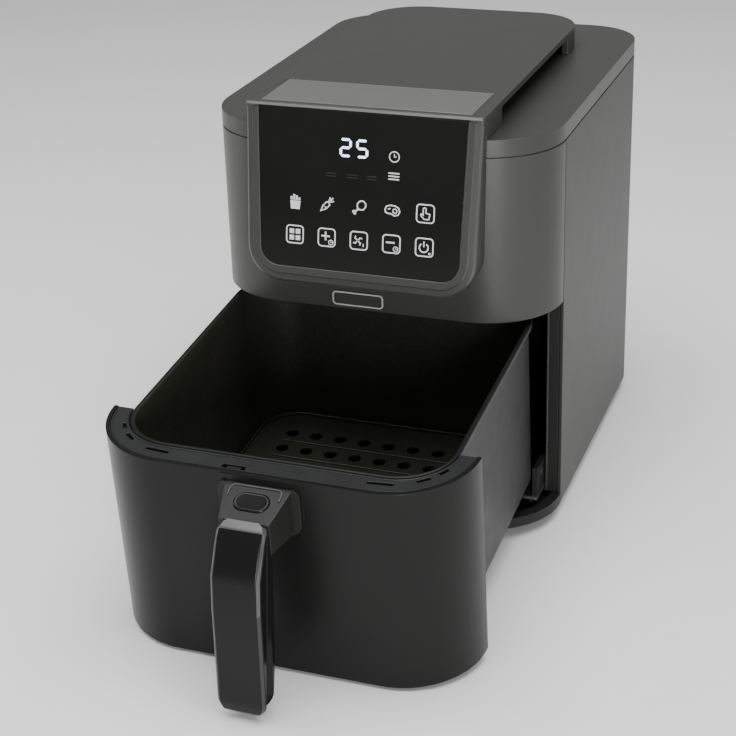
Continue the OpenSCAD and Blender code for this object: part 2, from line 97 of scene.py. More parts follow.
# ---------- materials ----------

BROAD_SCALE, WEAR_SCALE = 18.0, 45.0    # noise scales of the tone and of the roughness
GRAIN_DEPTH = 0.0002


def finish(name, color, rough, metal=0.0, vary=0.06, fleck=0.0, fleck_scale=900.0, grain=0.0,
           grain_scale=1400.0, rough_vary=0.05, glow=0.0, stretch=None, specular=0.5):
    """A material: a broad change of tone, fine flecks, changing roughness and a fine grain."""
    m = bpy.data.materials.new(name)
    m.use_nodes = True
    tree = m.node_tree
    shader = tree.nodes["Principled BSDF"]
    shader.inputs["Metallic"].default_value = metal
    shader.inputs["Specular IOR Level"].default_value = specular
    where = tree.nodes.new("ShaderNodeTexCoord").outputs["Object"]
    if stretch:
        mapping = tree.nodes.new("ShaderNodeMapping")
        mapping.inputs["Scale"].default_value = stretch
        tree.links.new(where, mapping.inputs["Vector"])
        fine = mapping.outputs["Vector"]
    else:
        fine = where

    def noise(scale, detail, source):
        n = tree.nodes.new("ShaderNodeTexNoise")
        n.inputs["Scale"].default_value = scale
        n.inputs["Detail"].default_value = detail
        tree.links.new(source, n.inputs["Vector"])
        return n.outputs["Fac"]

    def spread(value, low, high):
        r = tree.nodes.new("ShaderNodeMapRange")
        r.inputs["From Min"].default_value = 0.25
        r.inputs["From Max"].default_value = 0.75
        r.inputs["To Min"].default_value = low
        r.inputs["To Max"].default_value = high
        tree.links.new(value, r.inputs["Value"])
        return r.outputs["Result"]

    broad = noise(BROAD_SCALE, 4.0, where)
    tone = tree.nodes.new("ShaderNodeMix")
    tone.data_type = "RGBA"
    tone.inputs["A"].default_value = [c * (1 - vary) for c in color] + [1]
    tone.inputs["B"].default_value = [c * (1 + vary) for c in color] + [1]
    tree.links.new(spread(broad, 0.0, 1.0), tone.inputs["Factor"])
    shade = tone.outputs["Result"]
    if fleck:
        sparkle = tree.nodes.new("ShaderNodeMix")
        sparkle.data_type = "RGBA"
        sparkle.blend_type = "MULTIPLY"
        sparkle.inputs["Factor"].default_value = 1.0
        dots = tree.nodes.new("ShaderNodeCombineColor")
        bits = spread(noise(fleck_scale, 2.0, fine), 1 - fleck, 1 + fleck)
        for channel in ("Red", "Green", "Blue"):
            tree.links.new(bits, dots.inputs[channel])
        tree.links.new(shade, sparkle.inputs["A"])
        tree.links.new(dots.outputs["Color"], sparkle.inputs["B"])
        shade = sparkle.outputs["Result"]
    tree.links.new(shade, shader.inputs["Base Color"])
    tree.links.new(spread(noise(WEAR_SCALE, 5.0, fine), rough - rough_vary, rough + rough_vary),
                   shader.inputs["Roughness"])
    if grain:
        bump = tree.nodes.new("ShaderNodeBump")
        bump.inputs["Strength"].default_value = grain
        bump.inputs["Distance"].default_value = GRAIN_DEPTH
        tree.links.new(noise(grain_scale, 3.0, fine), bump.inputs["Height"])
        tree.links.new(bump.outputs["Normal"], shader.inputs["Normal"])
    if glow:
        tree.links.new(shade, shader.inputs["Emission Color"])
        shader.inputs["Emission Strength"].default_value = glow
    return m


MATERIALS = {
    "housing_paint": finish("housing_paint", (0.047, 0.048, 0.043), 0.36, metal=0.30, specular=0.35,
                            fleck=0.12, fleck_scale=1500, grain=0.08, vary=0.02, rough_vary=0.012),
    # Painted shade: a darker copy of housing_paint, for the shell's sides and back
    "side_paint": finish("side_paint", (0.026, 0.0265, 0.024), 0.40, metal=0.2, specular=0.2, fleck=0.12,
                         fleck_scale=1500, grain=0.08, vary=0.02, rough_vary=0.012),
    "inlay": finish("inlay", (0.19, 0.195, 0.178), 0.34, metal=0.6, fleck=0.12, fleck_scale=700,
                    grain=0.12, grain_scale=900, stretch=(1, 14, 14)),
    "drawer_paint": finish("drawer_paint", (0.0066, 0.0068, 0.0063), 0.30, metal=0.1, specular=0.2,
                           fleck=0.12, fleck_scale=1500, grain=0.08, vary=0.02, rough_vary=0.012),
    "gloss_black": finish("gloss_black", (0.006, 0.006, 0.006), 0.17, fleck=0.05, rough_vary=0.03,
                          specular=0.2),
    # Painted highlight: a lighter, more metallic black for the grip's top and chamfers
    "gloss_highlight": finish("gloss_highlight", (0.075, 0.0755, 0.074), 0.2, metal=0.4, fleck=0.05, rough_vary=0.02),
    "matte_black": finish("matte_black", (0.010, 0.010, 0.0095), 0.46, specular=0.26, fleck=0.12, grain=0.35,
                          grain_scale=1700),
    "rim_plastic": finish("rim_plastic", (0.0100, 0.0112, 0.0114), 0.42, specular=0.4, fleck=0.10, grain=0.30,
                          grain_scale=1900),
    "glass": finish("glass", (0.0055, 0.0055, 0.005), 0.10, vary=0.1, rough_vary=0.02, specular=0.35),
    "nonstick": finish("nonstick", (0.024, 0.024, 0.018), 0.36, metal=0.2, fleck=0.35,
                       fleck_scale=650, grain=0.35, grain_scale=800, vary=0.15),
    "pan_outside": finish("pan_outside", (0.0060, 0.0062, 0.0062), 0.40, specular=0.2, metal=0.05, fleck=0.15,
                          fleck_scale=1100, grain=0.12, vary=0.08),
    "liner_steel": finish("liner_steel", (0.012, 0.012, 0.012), 0.5, metal=0.3, fleck=0.2, grain=0.2,
                          vary=0.2),
    "bare_steel": finish("bare_steel", (0.42, 0.42, 0.42), 0.32, metal=1.0, fleck=0.08, grain=0.1,
                         stretch=(1, 10, 1)),
    "element_tube": finish("element_tube", (0.16, 0.14, 0.13), 0.45, metal=0.8, vary=0.25, grain=0.2),
    "impeller_alu": finish("impeller_alu", (0.5, 0.5, 0.5), 0.35, metal=1.0, fleck=0.08, grain=0.1),
    "motor_can": finish("motor_can", (0.33, 0.33, 0.35), 0.35, metal=1.0, vary=0.12, grain=0.1),
    "ceramic": finish("ceramic", (0.68, 0.62, 0.5), 0.5, grain=0.2),
    "pcb": finish("pcb", (0.01, 0.09, 0.035), 0.35, vary=0.15, fleck=0.15),
    "nylon": finish("nylon", (0.62, 0.60, 0.54), 0.42, grain=0.2),
    "red_plastic": finish("red_plastic", (0.5, 0.02, 0.02), 0.35, grain=0.1),
    "display": finish("display", (0.55, 0.62, 0.7), 0.4, grain=0.1),
    "rubber": finish("rubber", (0.013, 0.013, 0.013), 0.7, grain=0.5, grain_scale=1200, fleck=0.1),
    "silicone": finish("silicone", (0.03, 0.03, 0.03), 0.6, grain=0.3),
    "lit_digits": finish("lit_digits", (0.62, 0.80, 1.0), 0.4, glow=2.2, vary=0.03),
    "icon_ink": finish("icon_ink", (0.55, 0.56, 0.55), 0.45, glow=0.12, vary=0.05),
    "ghost_ink": finish("ghost_ink", (0.013, 0.013, 0.0125), 0.3, vary=0.05),
    # Painted highlight: a lighter copy of housing_paint, for rounded edges and the bezel's strips
    "housing_highlight": finish("housing_highlight", (0.075, 0.0765, 0.069), 0.34, metal=0.45, fleck=0.10,
                           fleck_scale=1500, grain=0.06, vary=0.02, rough_vary=0.012),
    # Painted highlight: a lighter black for rounded edges, ribs and lips on black parts
    "trim_edge": finish("trim_edge", (0.022, 0.0225, 0.022), 0.30, specular=0.4, fleck=0.08, grain=0.15,
                        grain_scale=1700),
    "button_top": finish("button_top", (0.0060, 0.0062, 0.0060), 0.62, fleck=0.1, grain=0.3,
                         grain_scale=1700, specular=0.1),
    "badge_line": finish("badge_line", (0.55, 0.555, 0.54), 0.34, metal=0.3, fleck=0.08),
}
SLOT_OF = {s["node"]: s["material_slot"] for s in frame["record"]["subparts"]}
for node_name, node in nodes.items():
    node.data.materials.clear()
    node.data.materials.append(MATERIALS[SLOT_OF[node_name]])
BODY_OF = {n: b for b, ns in frame["record"]["behaviour"]["bodies"].items() for n in ns}


# ---------- mesh helpers ----------

# The edge materials given to piece and softened are lighter colours on rounded edges: painted highlights
def piece(name, verts, faces, body, material, slot=None, bevel=0.0, segments=2, angle=32.0,
          place=None, flat=False, edge=None):
    """A new mesh on a body. With a bevel, its rounded edges take the edge material if one is named."""
    mesh = bpy.data.meshes.new(name)
    mesh.from_pydata([place(*v) if place else v for v in verts], [], faces)
    bm = bmesh.new()
    bm.from_mesh(mesh)
    bmesh.ops.recalc_face_normals(bm, faces=bm.faces)
    bm.to_mesh(mesh)
    bm.free()
    obj = bpy.data.objects.new(name, mesh)
    bpy.context.scene.collection.objects.link(obj)
    if not flat:
        mesh.shade_smooth()
        mesh.set_sharp_from_angle(angle=math.radians(angle))
    if bevel:
        round_edges = obj.modifiers.new("round_edges", "BEVEL")
        round_edges.width = bevel * MM
        round_edges.segments = segments
        round_edges.limit_method = "ANGLE"
        round_edges.angle_limit = math.radians(angle)
        round_edges.harden_normals = True
        round_edges.miter_outer = "MITER_ARC"
    mesh.materials.append(MATERIALS[material])
    if edge:
        mesh.materials.append(MATERIALS[edge])
        if bevel:
            round_edges.material = 1
    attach(obj, body)
    return obj


MERGE, FLAT_ANGLE = 2e-5, math.radians(0.6)


def softened(node, width, segments=2, material=None, edge=None):
    """A CAD node again, with its edges rounded as moulded or pressed ones are."""
    bm = bmesh.new()
    bm.from_mesh(nodes[node].data)
    bmesh.ops.remove_doubles(bm, verts=bm.verts, dist=MERGE)
    bmesh.ops.dissolve_limit(bm, angle_limit=FLAT_ANGLE, verts=bm.verts, edges=bm.edges)
    bm.verts.index_update()
    verts = [v.co.copy() for v in bm.verts]
    faces = [[v.index for v in f.verts] for f in bm.faces]
    bm.free()
    slot = SLOT_OF[node]
    obj = piece("round_" + node, verts, faces, BODY_OF[node], material or slot, slot, width, segments,
                edge=edge)
    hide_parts(node)


def corner(cx, cy, r, a0, a1, n):
    """An arc from angle a0 to a1, in degrees, as n + 1 points."""
    return [(cx + r * math.cos(math.radians(a0 + (a1 - a0) * i / n)),
             cy + r * math.sin(math.radians(a0 + (a1 - a0) * i / n))) for i in range(n + 1)]


def rounded(x0, y0, x1, y1, r, n=14):
    """Rounded rectangle, anticlockwise from the foot of its right side."""
    return (corner(x1 - r, y0 + r, r, -90, 0, n) + corner(x1 - r, y1 - r, r, 0, 90, n)
            + corner(x0 + r, y1 - r, r, 90, 180, n) + corner(x0 + r, y0 + r, r, 180, 270, n))


def prism(outline, z0, z1):
    """An outline stood up between two levels, as a closed solid."""
    n = len(outline)
    verts = [(x, y, z0) for x, y in outline] + [(x, y, z1) for x, y in outline]
    faces = [list(range(n))[::-1], list(range(n, 2 * n))]
    faces += [[i, (i + 1) % n, n + (i + 1) % n, n + i] for i in range(n)]
    return verts, faces


def loft(rings):
    """A skin from ring to ring, closed at both ends. The caps are the last two faces."""
    n = len(rings[0])
    verts = [v for r in rings for v in r]
    faces = []
    for a in range(0, n * (len(rings) - 1), n):
        faces += [[a + i, a + (i + 1) % n, a + n + (i + 1) % n, a + n + i] for i in range(n)]
    faces.append(list(range(n))[::-1])
    faces.append(list(range((len(rings) - 1) * n, len(rings) * n)))
    return verts, faces


def ribbon(points, width, z0, z1, closed=False):
    """A flat strip along a path, as a closed solid."""
    n = len(points)
    left, right = [], []
    for i, (x, y) in enumerate(points):
        before = points[i - 1] if (i or closed) else points[i]
        after = points[(i + 1) % n] if (i < n - 1 or closed) else points[i]
        d1 = Vector((x - before[0], y - before[1]))
        d2 = Vector((after[0] - x, after[1] - y))
        d1 = d1.normalized() if d1.length > 1e-9 else d2.normalized()
        d2 = d2.normalized() if d2.length > 1e-9 else d1
        mid = (d1 + d2).normalized() if (d1 + d2).length > 1e-6 else d1
        normal = Vector((-mid.y, mid.x))
        reach = width / 2 / max(0.5, normal.dot(Vector((-d1.y, d1.x))))
        left.append((x + normal.x * reach, y + normal.y * reach))
        right.append((x - normal.x * reach, y - normal.y * reach))
    verts = []
    for (a, b) in zip(left, right):
        verts += [(a[0], a[1], z0), (b[0], b[1], z0), (b[0], b[1], z1), (a[0], a[1], z1)]
    faces = []
    for i in range(n if closed else n - 1):
        p, q = 4 * i, 4 * ((i + 1) % n)
        for k in range(4):
            faces.append([p + k, p + (k + 1) % 4, q + (k + 1) % 4, q + k])
    if not closed:
        faces += [[0, 1, 2, 3], [4 * n - 4, 4 * n - 3, 4 * n - 2, 4 * n - 1]]
    return verts, faces


def circle(r, n=20):
    return [(r * math.cos(2 * math.pi * i / n), r * math.sin(2 * math.pi * i / n)) for i in range(n)]


def moved(points, cx, cy, turn=0.0):
    """Points turned by an angle in degrees and moved."""
    c, s = math.cos(math.radians(turn)), math.sin(math.radians(turn))
    return [(cx + x * c - y * s, cy + x * s + y * c) for x, y in points]


def joined(parts):
    """Several meshes as one."""
    verts, faces = [], []
    for vs, fs in parts:
        base = len(verts)
        verts += vs
        faces += [[base + i for i in f] for f in fs]
    return verts, faces


# ---------- housing ----------

for name, width, segments in [
        ("front_fascia", 0.9, 3), ("base_tray", 0.8, 2),
        ("intake_grille", 0.35, 2), ("rear_exhaust_grille", 0.4, 2), ("rubber_feet", 0.8, 2),
        ("rear_spacers", 0.6, 2), ("power_gland", 0.6, 2), ("shell_screws", 0.4, 2),
        ("guide_rails", 0.5, 2), ("cavity_liner", 0.5, 2), ("touch_glass", 0.35, 2),
        ("drawer_front", 1.1, 3), ("drawer_backing", 0.4, 2), ("crisper_bumpers", 0.8, 2),
        ("latch_bolt", 0.4, 2), ("top_cover", 3.6, 5)]:
    softened(name, width, segments)
# The top slab's rounded edges are painted lighter, as a painted highlight
softened("top_slab", 1.1, 3, edge="housing_highlight")
# The collar's and the bracket's rounded edges are painted lighter, as a painted highlight
softened("handle_collar", 1.0, 3, edge="trim_edge")
softened("handle_bracket", 0.9, 3, edge="trim_edge")
softened("liner_front_frame", 1.0, 3)
softened("top_inlay", 0.3, 2)


def walled(path, wall, levels, windows):
    """An upright wall along an open path, solid, with a window in each listed (step, level) cell."""
    verts, faces = [], []
    n, m = len(path), len(levels)
    for i, (x, y) in enumerate(path):
        a, b = path[max(i - 1, 0)], path[min(i + 1, n - 1)]
        d = Vector((b[0] - a[0], b[1] - a[1])).normalized()
        for z in levels:
            verts += [(x, y, z), (x - d.y * wall, y + d.x * wall, z)]

    def at(i, k, inner):
        return 2 * (i * m + k) + inner

    def solid(i, k):
        return 0 <= i < n - 1 and 0 <= k < m - 1 and (i, k) not in windows

    for i in range(n - 1):
        for k in range(m - 1):
            if not solid(i, k):
                continue
            foot, foot_on, head, head_on = (i, k), (i + 1, k), (i, k + 1), (i + 1, k + 1)
            for inner in (0, 1):
                faces.append([at(*cell, inner) for cell in (foot, foot_on, head_on, head)])
            for beside, p, q in (((i - 1, k), foot, head), ((i + 1, k), foot_on, head_on),
                                 ((i, k - 1), foot, foot_on), ((i, k + 1), head, head_on)):
                if not solid(*beside):
                    faces.append([at(*p, 0), at(*q, 0), at(*q, 1), at(*p, 1)])
    return verts, faces


# The shell's sides and back: one bent sheet, with a window for the exhaust grille. It takes a darker copy of the
# housing paint, as painted shade
WINDOW_X, WINDOW_Z0, WINDOW_Z1 = 44, 186, 229
SHELL_WALL, SHELL_FOOT = 2.6, 10
right_bend = corner(HALF - BACK_R, BACK_Y - BACK_R, BACK_R, 0, 90, CORNER_STEPS)
left_bend = corner(-HALF + BACK_R, BACK_Y - BACK_R, BACK_R, 90, 180, CORNER_STEPS)
wrap = [(HALF, SIDE_Y), *right_bend, (WINDOW_X, BACK_Y), (-WINDOW_X, BACK_Y), *left_bend, (-HALF, SIDE_Y)]
shell_levels = [SHELL_FOOT, WINDOW_Z0, WINDOW_Z1, SEAM_Z]
window = (1 + len(right_bend), shell_levels.index(WINDOW_Z0))
shell = piece("shell_wrap", *walled(wrap, SHELL_WALL, shell_levels, {window}), "housing",
              "side_paint", "housing_paint", bevel=0.6, place=housed, angle=40)
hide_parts("side_panels", "rear_panel")


def bezel_path(half_top, half_foot, foot, r, top):
    """Down one side of the glass, round its foot and up the other side."""
    right = [(half_top, top)] + corner(half_foot - r, foot + r, r, 0, -90, 14)
    return right + [(-x, v) for x, v in right[::-1]]


def bezel_section(near, far):
    """The bezel's section from a point by the glass to one on its rim, and back into the fascia."""
    (xn, vn), (xf, vf) = near, far
    reach = math.hypot(xf - xn, vf - vn)
    step = reach * BEZEL_STEP
    ring = []
    for part, out in ((0.0, -2.0), (0.0, 0.25), (0.5, 0.6), (step, 0.6), (step + 0.8, -0.3),
                      (reach - 2.0, -0.7), (reach - 0.5, -2.0), (reach, -3.6)):
        f = part / reach
        ring.append(tuple(panel(xn + (xf - xn) * f, vn + (vf - vn) * f, out) / MM))
    behind = FRONT + 3
    return ring + [(ring[-1][0], behind, ring[-1][2]), (ring[0][0], behind, ring[0][2])]


# Bezel: one section swept round the glass, with a step and a bevel. Strips on the step and the bevel are painted
# lighter as a painted highlight, on top of the light they catch
BEZEL_STEP, HIGHLIGHT_STRIPS = 0.44, (3, 5)
inner = bezel_path(half_top=77.9, half_foot=74.8, foot=-0.2, r=14.2, top=113.6)
outer = bezel_path(half_top=88.0, half_foot=86.0, foot=-12.6, r=27.0, top=111.6)
sections = [bezel_section(near, far) for near, far in zip(inner, outer)]
bezel = piece("bezel_frame", *loft(sections), "housing", "housing_paint",
              place=lambda x, y, z: Vector((x, y, z)) * MM, angle=28, edge="housing_highlight")
strips = len(sections[0])
for face in bezel.data.polygons:
    if face.index < strips * (len(sections) - 1) and face.index % strips in HIGHLIGHT_STRIPS:
        face.material_index = 1
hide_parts("control_bezel")

# Painted highlight: a thin strip in the lighter inlay colour along the top slab's front edge
slab_lo, slab_hi = (Vector(v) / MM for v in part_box("top_slab"))
slab_highlight_line = [(slab_lo.x + 1.4, slab_hi.z - 1.3), (slab_hi.x - 1.4, slab_hi.z - 1.3)]
piece("slab_edge_highlight", *ribbon(slab_highlight_line, 1.7, 4.7, 5.25), "housing", "inlay", bevel=0.15, place=facing)

# Badge: a blank plate with a raised bright outline, and nothing on it
badge_lo, badge_hi = (Vector(v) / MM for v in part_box("badge_plate"))
plate = rounded(badge_lo.x, badge_lo.z, badge_hi.x, badge_hi.z, 3.4)
badge = piece("badge_face", *prism(plate, 0.05, 0.9), "housing", "housing_paint", "inlay", bevel=0.3,
              place=facing)
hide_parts("badge_plate")
BADGE_IN = 0.9
outline = rounded(badge_lo.x + BADGE_IN, badge_lo.z + BADGE_IN, badge_hi.x - BADGE_IN,
                  badge_hi.z - BADGE_IN, 2.6)
piece("badge_outline", *ribbon(outline, 1.0, 0.85, 1.15, True), "housing", "badge_line", "inlay",
      place=facing)

# Guide ridges and studs moulded into the front corners of the base
SIDES = ((1, "right"), (-1, "left"))
for side, label in SIDES:
    path = [(side * x, y) for x, y in
            [(117, 63), (112.5, 55), (107, 47.5), (100.5, 41), (93, 35.5), (84.5, 31), (75, 28), (64, 26.5)]]
    piece("base_ridge_" + label, *ribbon(path, 3.2, 17.5, 21.2), "housing", "matte_black", bevel=1.0,
          segments=3, place=housed)
    stud = moved(circle(2.6, 16), side * 111, 39.5)
    piece("base_stud_" + label, *prism(stud, 17.6, 19.6), "housing", "gloss_black", "matte_black",
          bevel=0.7, segments=3, place=housed)

# A thin upright rib on each side of the mouth, in a lighter colour than the black frame: a painted highlight
RIB = [(117.8, 60.5), (117.65, 58.3), (118.0, 57.8), (119.0, 57.75), (119.5, 58.2), (119.5, 60.5)]
for side, label in SIDES:
    ends = [[(side * x, y, z) for x, y in RIB] for z in (18.6, MOUTH_Z - 0.6)]
    piece("mouth_highlight_rib_" + label, *loft(ends), "housing", "trim_edge", "matte_black", place=housed, angle=50)


# ---------- marks on the glass ----------

INK0, INK1 = -0.1, 0.14                 # the ink's depth into the glass and out of it
marks, bright, ghosts = [], [], []


def line(points, width=0.9, closed=False, at=(0, 0), turn=0.0):
    marks.append(ribbon(moved(points, at[0], at[1], turn), width, INK0, INK1, closed))


def fill(points, at=(0, 0), into=marks):
    into.append(prism(moved(points, at[0], at[1]), INK0, INK1))


PITCH, ROW1, ROW2 = 24.3, 47.3, 23.4
box = rounded(-6.35, -6.35, 6.35, 6.35, 2.4, n=5)
# Chips in a carton
at = (-2 * PITCH, ROW1)
fill([(-3.9, 0.6), (3.9, 0.6), (3.3, -5.4), (-3.3, -5.4)], at)
for x, top in ((-3.0, 3.6), (-1.0, 5.2), (1.0, 4.4), (3.0, 3.0)):
    fill([(x - 0.75, 1.1), (x + 0.75, 1.1), (x + 0.75, top), (x - 0.75, top)], at)
# Carrot
at = (-PITCH, ROW1)
line([(-4.9, -4.9), (-3.2, -0.9), (-0.4, 1.9), (1.3, 1.3), (1.9, -0.4), (-0.9, -3.2)], 0.9, True, at)
for p in ([(1.6, 1.6), (5.0, 2.6)], [(1.4, 1.8), (4.4, 4.9)], [(1.1, 2.0), (2.3, 5.2)]):
    line(p, 0.9, at=at)
line([(-2.2, -1.4), (-0.9, -2.4)], 0.7, at=at)
# Drumstick
at = (0, ROW1)
line([(-0.2, -1.5), (2.6, -1.6), (4.4, 0.4), (4.6, 2.9), (2.8, 4.7), (0.3, 4.6), (-1.6, 2.7), (-1.7, 0.1)],
     0.95, True, at)
line([(-1.0, -1.0), (-3.3, -3.4)], 1.3, at=at)
fill(moved(circle(1.1, 12), -3.5, -4.3), at)
fill(moved(circle(1.1, 12), -4.4, -3.2), at)
# Steak
at = (PITCH, ROW1)
line([(-5.4, 0.6), (-4.2, 3.0), (-1.2, 3.7), (2.0, 3.4), (4.6, 2.1), (5.5, -0.4), (4.4, -2.9), (1.4, -3.6),
      (-0.8, -2.3), (-3.2, -2.2), (-5.0, -1.4)], 0.95, True, at)
line(circle(1.5, 12), 0.8, True, (at[0] + 1.9, at[1] - 0.2))
line([(-3.4, 0.8), (-1.4, 1.4)], 0.8, at=at)
# Pointing hand in a frame
at = (2 * PITCH, ROW1)
line(box, 0.95, True, at)
line([(-1.6, 3.6), (-1.6, -1.2), (-3.0, -0.4), (-3.4, -1.4), (-0.8, -4.0), (2.6, -4.0), (3.3, -0.2),
      (0.4, 0.4), (0.4, 3.6), (-0.6, 4.3)], 0.8, True, at)
# Four squares
at = (-2 * PITCH, ROW2)
line(box, 0.95, True, at)
for x in (-2.35, 2.35):
    for y in (-2.35, 2.35):
        fill([(x - 1.75, y - 1.75), (x + 1.75, y - 1.75), (x + 1.75, y + 1.75), (x - 1.75, y + 1.75)], at)
# More and less time
for k, plus in ((-1, True), (1, False)):
    at = (k * PITCH, ROW2)
    line(box, 0.95, True, at)
    line([(-4.0, 1.0), (2.4, 1.0)], 1.2, at=at)
    if plus:
        line([(-0.8, -2.2), (-0.8, 0.35)], 1.2, at=at)
        line([(-0.8, 1.65), (-0.8, 4.2)], 1.2, at=at)
    clock = (at[0] + 3.2, at[1] - 3.4)
    line(circle(1.7, 14), 0.6, True, clock)
    line([(0, 1.0), (0, 0), (0.8, 0)], 0.45, at=clock)
# Fan speed
at = (0, ROW2)
line(box, 0.95, True, at)
for k in range(4):
    line([(0.5, 0.3), (1.6, 2.0), (3.4, 1.6)], 0.9, at=(at[0] - 0.8, at[1]), turn=90 * k)
line([(3.4, -4.2), (3.4, -1.9)], 0.7, at=at)
# On and off
at = (2 * PITCH, ROW2)
line(box, 0.95, True, at)
line(corner(0, 0, 3.2, 125, 415, 20), 0.95, at=(at[0] - 0.4, at[1] - 0.3))
line([(-0.4, 0.2), (-0.4, 4.2)], 0.95, at=at)
fill(moved(circle(0.9, 10), 3.9, -4.3), at)
# Clock, and bars
at = (24.7, 85.2)
line(circle(3.6, 24), 0.75, True, at)
line([(0, 2.1), (0, 0), (1.6, 0)], 0.65, at=at)
at = (24.7, 71.5)
for y in (-2.1, 0, 2.1):
    fill([(-4, y - 0.45), (4, y - 0.45), (4, y + 0.45), (-4, y + 0.45)], at)
for x, half in ((-21.8, 3.6), (-6, 4.2), (8.3, 3.6)):
    for y in (-1.6, 0.4):
        fill([(-half, y - 0.4), (half, y - 0.4), (half, y + 0.4), (-half, y + 0.4)], (x, 69.5), into=ghosts)


DIGIT_W, DIGIT_H, STROKE, GAP, DIGIT_V = 8.9, 13.2, 1.7, 0.35, 88.8


def digit(segments, cx, cy):
    """A digit made of strokes with pointed ends, named a to g as on any seven-segment display."""
    a, b, t = (DIGIT_W - STROKE) / 2, (DIGIT_H - STROKE) / 2, STROKE
    ends = {"a": ((-a, b), (a, b)), "g": ((-a, 0), (a, 0)), "d": ((-a, -b), (a, -b)),
            "f": ((-a, b), (-a, 0)), "b": ((a, b), (a, 0)), "e": ((-a, 0), (-a, -b)), "c": ((a, 0), (a, -b))}
    for s in segments:
        (x0, y0), (x1, y1) = ends[s]
        d = Vector((x1 - x0, y1 - y0)).normalized()
        nrm = Vector((-d.y, d.x)) * t / 2
        p, q = Vector((x0, y0)) + d * GAP, Vector((x1, y1)) - d * GAP
        six = [p, p + d * t / 2 - nrm, q - d * t / 2 - nrm, q, q - d * t / 2 + nrm, p + d * t / 2 + nrm]
        fill([(cx + v.x, cy + v.y) for v in six], into=bright)


digit("abged", -11.4, DIGIT_V)
digit("afgcd", 0.9, DIGIT_V)
piece("panel_icons", *joined(marks), "housing", "icon_ink", "glass", place=panel, flat=True)
piece("panel_digits", *joined(bright), "housing", "lit_digits", "display", place=panel, flat=True)
piece("panel_unlit_marks", *joined(ghosts), "housing", "ghost_ink", "glass", place=panel, flat=True)


# ---------- drawer ----------

PAN_X, PAN_Y0, PAN_Y1, PAN_Z, PAN_R = 115.5, 19.7, 269.7, 34.0, 40.0
PAN_FOOT_R, PAN_DRAFT = 10.0, 2.5


def pan_ring(inset, z):
    ring = rounded(-PAN_X + inset, PAN_Y0 + inset, PAN_X - inset, PAN_Y1 - inset, PAN_R - inset)
    return [(x, y, z) for x, y in ring]


# Outer wall from the floor up, over the rolled rim, and down the inner wall to the floor
steps = [math.pi / 2 * i / 6 for i in range(7)]
outside = [(PAN_DRAFT + PAN_FOOT_R * (1 - math.sin(a)), PAN_Z + 0.02 + PAN_FOOT_R * (1 - math.cos(a)))
           for a in steps]
lip = [(PAN_DRAFT, RIM_Z - 5.4), (2.1, RIM_Z - 4.8), (0.4, RIM_Z - 4.5), (0.05, RIM_Z - 3.9),
       (0.0, RIM_Z - 1.6), (0.35, RIM_Z - 0.7), (1.0, RIM_Z - 0.15), (1.8, RIM_Z), (2.6, RIM_Z - 0.15),
       (3.3, RIM_Z - 0.8), (3.7, RIM_Z - 2.0)]
inside = [(3.9, RIM_Z - 12), (5.6, PAN_Z + 14), (6.2, PAN_Z + 9.5), (8.2, PAN_Z + 5.6), (11.4, PAN_Z + 3.0),
          (16.0, PAN_Z + 1.9), (22.0, PAN_Z + 1.7), (26.0, PAN_Z + 2.5), (32.0, PAN_Z + 2.5)]
profile = outside + lip + inside
pan = piece("pan_shell", *loft([pan_ring(i, z) for i, z in profile]), "drawer", "pan_outside", "nonstick",
            place=pulled, angle=50)
pan.data.materials.append(MATERIALS["nonstick"])
around = len(pan_ring(0, 0))
coated_from = around * (len(outside) + 8)
underside = around * (len(profile) - 1)
for face in pan.data.polygons:
    if face.index >= coated_from and face.index != underside:
        face.material_index = 1
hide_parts("pan")
pin_ring = moved(circle(3.0, 32), PIN_Y, PIN_Z)
pins = [loft([[(side * x, y, z) for y, z in pin_ring] for x in (111.5, 117)]) for side, _ in SIDES]
piece("pan_pins", *joined(pins), "drawer", "bare_steel", bevel=0.4, place=pulled)


def front_path(half, front, r, reach):
    """Round the front of the drawer from one side to the other, back as far as reach."""
    path = (corner(-half + r, front + r, r, 180, 270, CORNER_STEPS)
            + corner(half - r, front + r, r, -90, 0, CORNER_STEPS))
    return [p for p in path if p[1] <= reach]


# Rim shelf: the slotted frame, a raised step beside the pan and a bead near the front
STEP_OUT, BEAD_IN = 1.6, 4.2
rim_low, rim_high = RIM_Z - 1.6, RIM_Z - 0.15
softened("rim_frame", 0.35, 2, "rim_plastic")
step_path = front_path(PAN_X + STEP_OUT, PAN_Y0 - STEP_OUT, PAN_R + STEP_OUT, reach=54)
bead_path = front_path(HALF - BEAD_IN, BEAD_IN, FRONT_R - BEAD_IN, reach=56)
for name, path, width, bevel in (("rim_step", step_path, 1.5, 0.35), ("rim_bead", bead_path, 0.9, 0.25)):
    piece(name, *ribbon(path, width, rim_low, rim_high), "drawer", "rim_plastic", "matte_black",
          bevel=bevel, place=pulled, angle=50)

# Crisper plate, with a turned-up edge and pressed ribs
CRISPER_Z, RIB_PITCH, RIB_HALF = 53.4, 22, 84
softened("crisper_plate", 0.45)
edge = rounded(-106.6, PAN_Y0 + 9.4, 106.6, PAN_Y1 - 9.4, 28.6, n=12)
ribs = [ribbon(edge, 1.8, CRISPER_Z, CRISPER_Z + 3.2, True)]
middle = (PAN_Y0 + PAN_Y1) / 2
for k in range(-4, 4):
    y = middle + (k + 0.5) * RIB_PITCH
    ribs.append(ribbon([(-RIB_HALF, y), (RIB_HALF, y)], 3.0, CRISPER_Z, CRISPER_Z + 1.8))
piece("crisper_ribs", *joined(ribs), "crisper", "nonstick", bevel=0.6, segments=3, place=pulled, angle=50)

